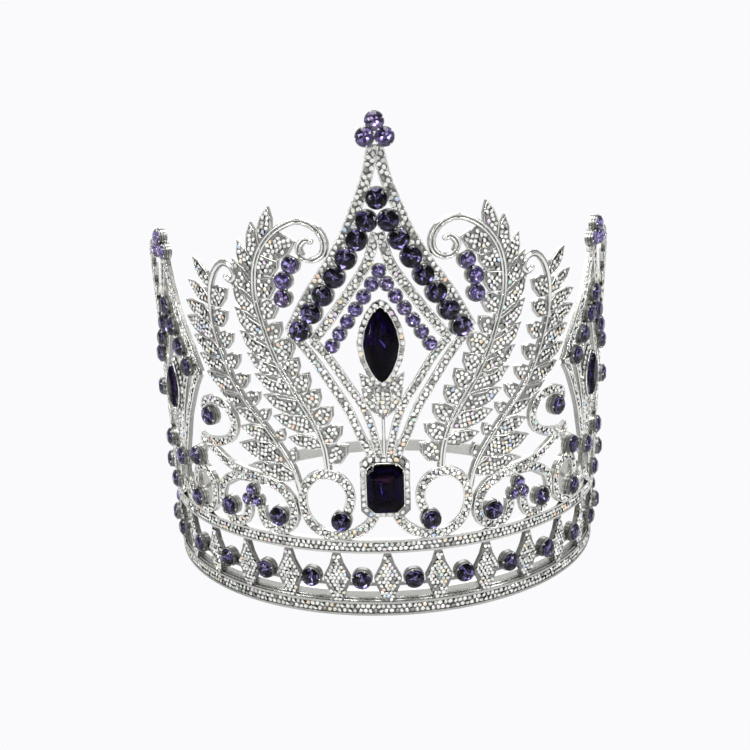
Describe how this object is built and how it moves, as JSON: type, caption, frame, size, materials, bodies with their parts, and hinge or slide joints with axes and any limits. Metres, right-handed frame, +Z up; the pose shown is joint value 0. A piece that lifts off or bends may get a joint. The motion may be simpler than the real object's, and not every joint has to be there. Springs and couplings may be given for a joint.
{
  "type": "pageant crown",
  "caption": "Tall full-round pageant crown: pierced cast metal wall with spires, fronds, scrolls and a gallery, set with dark round, marquise and octagon stones, on a plain ring.",
  "frame": {"origin": "centre of the base ring's footprint, on the surface that the crown stands on", "axes": "+Z up, the centre spire at -Y, the wearer's left at +X"},
  "size_m": [0.1882, 0.1868, 0.1807],
  "materials": {
    "frame": "bright rhodium plate over cast zinc alloy",
    "dark_crystal": "faceted, foiled, dark violet",
    "light_crystal": "faceted, foiled, light violet"
  },
  "bodies": {
    "root": {"frame": "frame", "octagon_stone": "dark_crystal", "centre_marquise_stone": "dark_crystal", "left_marquise_stone": "dark_crystal", "right_marquise_stone": "dark_crystal", "chevron_stone_1": "dark_crystal", "chevron_stone_2": "dark_crystal", "chevron_stone_3": "dark_crystal", "chevron_stone_4": "dark_crystal", "chevron_stone_5": "dark_crystal", "chevron_stone_6": "dark_crystal", "chevron_stone_7": "dark_crystal", "chevron_stone_8": "dark_crystal", "chevron_stone_9": "dark_crystal", "chevron_stone_10": "dark_crystal", "chevron_stone_11": "dark_crystal", "chevron_stone_12": "dark_crystal", "chevron_stone_13": "dark_crystal", "chevron_stone_14": "dark_crystal", "chevron_stone_15": "dark_crystal", "top_stone_1": "light_crystal", "top_stone_2": "light_crystal", "top_stone_3": "light_crystal", "left_scroll_stone": "dark_crystal", "left_light_stone_1": "light_crystal", "left_light_stone_2": "light_crystal", "left_light_stone_3": "light_crystal", "left_heart_stone_1": "dark_crystal", "left_heart_stone_2": "dark_crystal", "left_curl_stone": "dark_crystal", "right_scroll_stone": "dark_crystal", "right_light_stone_1": "light_crystal", "right_light_stone_2": "light_crystal", "right_light_stone_3": "light_crystal", "right_heart_stone_1": "dark_crystal", "right_heart_stone_2": "dark_crystal", "right_curl_stone": "dark_crystal", "gallery_stones": "dark_crystal", "inner_chevron_stones": "light_crystal", "left_chevron_stones": "dark_crystal", "left_top_stones": "light_crystal", "left_foot_stones": "dark_crystal", "left_trefoil_stones": "light_crystal", "left_rear_stones": "dark_crystal", "right_chevron_stones": "dark_crystal", "right_top_stones": "light_crystal", "right_foot_stones": "dark_crystal", "right_trefoil_stones": "light_crystal", "right_rear_stones": "dark_crystal"}
  },
  "joints": []
}
